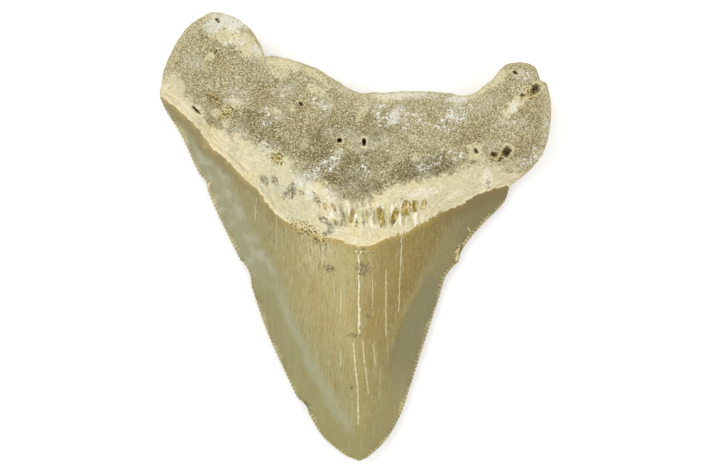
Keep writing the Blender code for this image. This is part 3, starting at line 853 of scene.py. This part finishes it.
def band_colour(recipe, here, slots, grey):
    """The dental band: cream crumbs, grey marks and a row of brown slots between pale columns."""
    place, x, y = here.place, here.x, here.y
    colour = recipe.ramp(recipe.noise(place, 0.45, 4.0, 0.6), (0.30, srgb(190, 184, 148)),
                         (0.44, srgb(210, 202, 164)), (0.56, srgb(216, 203, 158)),
                         (0.70, srgb(220, 210, 178)))
    yellow = recipe.fade(recipe.noise(recipe.shifted(place, 40.0, 0.0, 0.0), 0.25, 3.0), 0.50, 0.66)
    colour = recipe.paint(colour, srgb(226, 208, 146), yellow, 0.5)
    colour = recipe.paint(colour, srgb(198, 188, 146), recipe.fade(x, 8.0, 14.0), 0.45)
    crumbs = recipe.noise(recipe.shifted(place, 0.0, 23.0, 0.0), 1.1, 4.0, 0.7)
    colour = recipe.paint(colour, srgb(186, 178, 140), recipe.fade(crumbs, 0.47, 0.36), 0.50)
    colour = recipe.paint(colour, srgb(234, 226, 198), recipe.fade(crumbs, 0.54, 0.64), 0.60)
    specks = recipe.noise(place, 3.0, 4.0, 0.75)
    colour = recipe.paint(colour, srgb(158, 146, 102), recipe.fade(specks, 0.46, 0.36), 0.55)
    colour = recipe.paint(colour, srgb(242, 234, 208), recipe.fade(specks, 0.54, 0.64), 0.60)
    folded = recipe.joined(here.over, recipe.times(x, 0.12), recipe.times(y, 0.12))
    folds = recipe.noise(folded, 1.9, 3.0, 0.6)
    outer = recipe.times(recipe.fade(recipe.size_of(x), 7.0, 13.0),
                         recipe.fade(here.over, 3.6, 1.8))
    colour = recipe.paint(colour, srgb(170, 152, 96), recipe.fade(folds, 0.43, 0.33), outer, 0.50)
    colour = recipe.paint(colour, srgb(238, 230, 204), recipe.fade(folds, 0.54, 0.64), outer, 0.40)
    dull = recipe.times(recipe.fade(recipe.size_of(recipe.add(x, 12.0)), 6.0, 2.0),
                        recipe.fade(here.over_band, -8.0, -5.0))
    colour = recipe.paint(colour, srgb(178, 178, 148), dull, 0.30)
    grains = recipe.fade(recipe.noise(place, 2.0, 4.0, 0.7), 0.56, 0.46)
    strength = recipe.add(0.25, recipe.times(grains, 0.65))
    colour = recipe.paint(colour, srgb(98, 92, 64), grey, strength)
    columns = recipe.noise(recipe.stretched(place, 1.0, 0.14, 0.3), 1.5, 2.0)
    between = recipe.times(recipe.fade(recipe.size_of(recipe.less(x, 3.5)), 8.5, 6.0),
                           recipe.fade(recipe.size_of(recipe.less(y, 3.6)), 2.6, 1.2))
    gaps, pillars = recipe.fade(columns, 0.50, 0.38), recipe.fade(columns, 0.53, 0.60)
    colour = recipe.paint(colour, srgb(160, 152, 104), between, gaps, 0.65)
    colour = recipe.paint(colour, srgb(246, 242, 222), between, pillars, 0.80)
    shade = recipe.noise(recipe.stretched(place, 1.0, 0.35, 0.3), 2.0, 3.0, 0.6)
    brown = recipe.ramp(shade, (0.34, srgb(118, 96, 36)), (0.45, srgb(148, 124, 48)),
                        (0.54, srgb(178, 154, 76)), (0.64, srgb(222, 205, 146)))
    return recipe.paint(colour, brown, slots)


def root_colour(recipe, here):
    """Root: buff and grey-brown grains, white in places and cream where it is worn."""
    place = here.place
    coarse, fine = recipe.noise(place, 3.6, 4.0, 0.75), recipe.noise(place, 6.2, 2.0, 0.6)
    mottle = recipe.sway(recipe.shifted(place, 0.0, 50.0, 0.0), 0.55, 1.0, 3.0)
    light = recipe.add(recipe.times(coarse, 0.62), recipe.times(fine, 0.38),
                       recipe.times(here.cloud, 0.012), recipe.times(mottle, 0.016),
                       recipe.times(here.brown, -0.075))
    colour = recipe.ramp(light, (0.38, srgb(74, 66, 32)), (0.45, srgb(124, 114, 72)),
                         (0.50, srgb(160, 149, 106)), (0.56, srgb(192, 182, 142)),
                         (0.63, srgb(240, 233, 206)))
    warm = recipe.sway(recipe.shifted(place, 90.0, 0.0, 0.0), 0.22, 1.0, 3.0)
    warm = recipe.add(warm, recipe.times(recipe.fade(here.x, 23.0, 30.0), 0.6))
    tan = recipe.mix(1.0, colour, srgb(220, 204, 166), "MULTIPLY")
    colour = recipe.paint(colour, tan, recipe.fade(warm, 0.1, 0.8), 0.40)
    colour = recipe.paint(colour, srgb(188, 188, 168), recipe.fade(warm, -0.1, -0.8), 0.35)
    colour = recipe.paint(colour, srgb(112, 98, 56), here.brown, recipe.fade(fine, 0.60, 0.42), 0.5)
    curls = recipe.noise(recipe.shifted(place, 0.0, 71.0, 0.0), 2.2, 2.0)
    curls = recipe.size_of(recipe.less(curls, 0.5))
    broken = recipe.noise(recipe.shifted(place, 0.0, 0.0, 83.0), 3.0, 2.0)
    colour = recipe.paint(colour, srgb(226, 216, 180), recipe.fade(curls, 0.05, 0.02),
                          recipe.fade(broken, 0.48, 0.56), 0.55)
    colour = recipe.paint(colour, CHALK, recipe.fade(broken, 0.68, 0.72), 0.80)
    rim = recipe.fade(recipe.add(here.from_edge, mottle), 1.8, 0.3)
    colour = recipe.paint(colour, CREAM, rim, recipe.fade(coarse, 0.40, 0.52), 0.38)
    colour = recipe.paint(colour, CREAM, here.cream, recipe.fade(coarse, 0.36, 0.48), 0.85)
    return recipe.paint(colour, WHITE, here.white, recipe.fade(coarse, 0.34, 0.46), 0.85)


def chalk_marks(recipe, here):
    """Where thin curled lines of chalk cling, and some dust between them."""
    place = here.place
    curls = recipe.size_of(recipe.less(recipe.noise(place, 1.0, 2.0, 0.6), 0.5))
    broken = recipe.fade(recipe.noise(recipe.shifted(place, 0.0, 31.0, 0.0), 0.8, 2.0), 0.44, 0.50)
    lines = recipe.times(recipe.fade(curls, 0.05, 0.02), broken)
    dust = recipe.times(recipe.fade(recipe.noise(place, 4.6, 2.0, 0.6), 0.50, 0.64), 0.30)
    return recipe.times(here.chalk, recipe.either(lines, dust))


def pit_shade_and_rings(recipe, here, colour):
    """Painted shade in the hollows of the root, with pale rings about them."""
    nearest = recipe.chain("MINIMUM", reaches(recipe, here, PITS))
    nearest = recipe.add(nearest, recipe.times(here.fine, 1.2))
    ring = recipe.fade(recipe.size_of(recipe.less(nearest, 1.40)), 0.40, 0.15)
    colour = recipe.paint(colour, srgb(224, 211, 166), ring, here.lingual, 0.72)
    crusty = recipe.fade(recipe.noise(here.place, 1.8, 3.0, 0.7), 0.60, 0.44)
    # Painted shade: the pits darkened, unevenly, where shade falls in the hollows
    hollow = recipe.fade(nearest, 1.15, 0.8)
    dark = recipe.add(0.35, recipe.times(crusty, 0.6))
    return recipe.paint(colour, srgb(82, 62, 26), hollow, here.lingual, dark)


def rooted_colour(recipe, here, slots, grey):
    """Everything above the enamel."""
    colour = band_colour(recipe, here, slots, grey)
    colour = recipe.mix(here.on_root, colour, root_colour(recipe, here))
    colour = pit_shade_and_rings(recipe, here, colour)
    crumbled = recipe.fade(recipe.noise(here.place, 1.6, 4.0, 0.7), 0.46, 0.54)
    crust = recipe.times(here.white, recipe.less(1.0, here.on_root), crumbled)
    colour = recipe.paint(colour, srgb(240, 238, 226), crust, 0.80)
    colour = recipe.paint(colour, CHALK, chalk_marks(recipe, here))
    # Painted shade: a thin darker line along the outline, where the root's sides turn away from the
    # light
    painted_edge_shade = recipe.fade(recipe.add(here.from_edge, here.fine), 0.5, 0.1)
    return recipe.paint(colour, srgb(160, 144, 98), painted_edge_shade, 0.34)


def stains_and_chips(recipe, here, colour, grit):
    """What lies across the enamel's border, and the chips in the cutting edge."""
    stain = recipe.fade(recipe.add(here.stain, recipe.times(here.fine, 2.2)), 1.4, 0.6)
    colour = recipe.paint(colour, srgb(184, 165, 94), stain, recipe.fade(grit, 0.42, 0.52), 0.65)
    colour = recipe.paint(colour, srgb(84, 66, 32), stain, recipe.fade(grit, 0.49, 0.43), 0.90)
    colour = recipe.paint(colour, srgb(228, 216, 170), stain, recipe.fade(grit, 0.53, 0.60), 0.85)
    for patches, over, strength in ((FLAKES, srgb(220, 204, 152), 0.70),
                                    (NICKS, srgb(92, 76, 40), 0.65)):
        nearest = recipe.chain("MINIMUM", reaches(recipe, here, patches))
        mask = recipe.fade(recipe.add(nearest, recipe.times(here.fine, 0.8)), 1.35, 0.65)
        colour = recipe.paint(colour, over, mask, here.lingual, strength)
    return colour


def look_about(recipe):
    """What all of the material reads: the place in millimetres, measures and shared noise."""
    here = SimpleNamespace(oval=oval_group())
    here.place = recipe.stretched(recipe.node("TexCoord").outputs["Object"], 1 / MM, 1 / MM, 1 / MM)
    here.x, here.y, _ = recipe.parts(here.place)
    for name, (parts, _) in MEASURES.items():
        for part, socket in zip(parts, recipe.parts(recipe.measured(name))):
            setattr(here, part, socket)
    here.fine = recipe.sway(here.place, 2.6, 0.3)
    here.cloud = recipe.sway(here.place, 0.15, 1.0, 3.0)
    jagged = recipe.add(here.over, recipe.sway(here.place, 3.2, 0.14),
                        recipe.sway(here.place, 1.1, 0.20))
    streaky = recipe.noise(recipe.stretched(here.place, 1.0, 0.25, 0.3), 2.6, 3.0, 0.7)
    streaked = recipe.times(recipe.fade(here.x, 3.0, 7.0), recipe.fade(here.x, 18.0, 13.0),
                            here.lingual)
    here.jagged = recipe.add(jagged, recipe.times(recipe.less(streaky, 0.5), streaked, 2.4))
    here.off_enamel = recipe.fade(here.jagged, -0.10, 0.10)
    ragged = recipe.add(recipe.sway(here.place, 0.55, 0.9, 3.0),
                        recipe.sway(here.place, 1.8, 0.7), here.fine)
    on_root = recipe.fade(recipe.add(here.over_band, ragged), -0.5, 0.5)
    here.on_root = recipe.blend(here.lingual, 1.0, on_root)
    return here


def slot_mask(recipe, here):
    """The flaked slots in the dental band, each as strong as it is brown."""
    rough = recipe.times(here.fine, 0.8)
    masks = [recipe.times(recipe.fade(recipe.add(reach, rough), 1.15, 0.88), slot[5])
             for slot, reach in zip(SLOTS, reaches(recipe, here, SLOTS))]
    return recipe.times(recipe.either(*masks), here.lingual)


def fossil_material():
    material = bpy.data.materials.new("fossil")
    material.use_nodes = True
    recipe = Recipe(material.node_tree)
    shader = material.node_tree.nodes["Principled BSDF"]
    here = look_about(recipe)

    crack = crack_mask(recipe, here)
    grit = recipe.noise(here.place, 2.6, 4.0, 0.7)
    grey = recipe.fade(recipe.add(here.grey, recipe.times(here.fine, 2.4)), 1.6, 0.7)
    slots = slot_mask(recipe, here)

    colour = crown_colour(recipe, here, crack)
    colour = recipe.mix(here.off_enamel, colour, rooted_colour(recipe, here, slots, grey))
    # A pale line along the enamel's border: partly its broken edge, partly a painted highlight
    # where the ledge catches the light
    lip_and_highlight = recipe.fade(recipe.size_of(recipe.less(here.jagged, 0.10)), 0.22, 0.06)
    colour = recipe.paint(colour, srgb(232, 218, 172), lip_and_highlight, here.lingual,
                          recipe.add(0.55, recipe.sway(here.place, 0.6, 0.4)))
    colour = stains_and_chips(recipe, here, colour, grit)
    recipe.feed(shader.inputs["Base Color"], colour)
    roughness = recipe.blend(here.on_root, BAND_ROUGHNESS, ROOT_ROUGHNESS)
    roughness = recipe.blend(here.off_enamel, ENAMEL_ROUGHNESS, roughness)
    recipe.feed(shader.inputs["Roughness"], roughness)

    striae = recipe.noise(recipe.stretched(here.place, 1.0, 0.08, 0.3), 2.5, 3.0)
    enamel_height = recipe.less(recipe.times(striae, 0.14), recipe.times(crack, 0.12))
    band_height = recipe.less(recipe.times(grit, 0.5), recipe.times(slots, 0.7),
                              recipe.times(grey, 0.2))
    height = recipe.blend(here.on_root, band_height, grit)
    height = recipe.blend(here.off_enamel, enamel_height, height)
    bump = recipe.node("Bump")
    bump.inputs["Distance"].default_value = BUMP_HEIGHT * MM
    recipe.feed(bump.inputs["Height"], height)
    recipe.feed(shader.inputs["Normal"], bump.outputs[0])
    return material


tooth = make_tooth(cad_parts["tooth"])
tooth.data.materials.append(fossil_material())


def light(name, power, place):
    """A square lamp that shines on the tooth from this place."""
    lamp = bpy.data.lights.new(name, "AREA")
    lamp.size = LAMP_SIZE
    lamp.energy = power
    holder = bpy.data.objects.new(name, lamp)
    holder.location = place
    holder.rotation_euler = (-Vector(place)).to_track_quat("-Z", "Y").to_euler()
    bpy.context.scene.collection.objects.link(holder)


def table_top():
    """A pale table that glows a little, so that the tooth's own shadow on it stays faint."""
    body = bmesh.new()
    bmesh.ops.create_grid(body, x_segments=1, y_segments=1, size=1.0)
    mesh = bpy.data.meshes.new("table_top")
    body.to_mesh(mesh)
    body.free()
    pale = bpy.data.materials.new("pale_table")
    pale.use_nodes = True
    shader = pale.node_tree.nodes["Principled BSDF"]
    shader.inputs["Base Color"].default_value = (0.9, 0.9, 0.9, 1)
    shader.inputs["Roughness"].default_value = 0.9
    shader.inputs["Emission Color"].default_value = (1, 1, 1, 1)
    shader.inputs["Emission Strength"].default_value = TABLE_GLOW
    mesh.materials.append(pale)
    top = bpy.data.objects.new("table_top", mesh)
    bpy.context.scene.collection.objects.link(top)


table_top()
light("key", 2.0, (-0.35, 0.30, 0.55))
light("fill", 1.2, (0.45, -0.10, 0.60))
world = bpy.data.worlds.new("studio")
world.use_nodes = True
world.node_tree.nodes["Background"].inputs["Color"].default_value = (1, 1, 1, 1)
world.node_tree.nodes["Background"].inputs["Strength"].default_value = SKY_STRENGTH
bpy.context.scene.world = world

# Straight down, as in the photo
camera_data = bpy.data.cameras.new("camera")
camera_data.sensor_width = SENSOR
camera_data.lens = SENSOR * (CAMERA_HEIGHT - EDGE_HEIGHT) / (PICTURE_WIDTH * PIXEL)
camera = bpy.data.objects.new("camera", camera_data)
camera.location = (-1.0 * PIXEL, 0.9 * PIXEL, CAMERA_HEIGHT)
bpy.context.scene.collection.objects.link(camera)
bpy.context.scene.camera = camera
bpy.context.scene.view_settings.view_transform = "Standard"
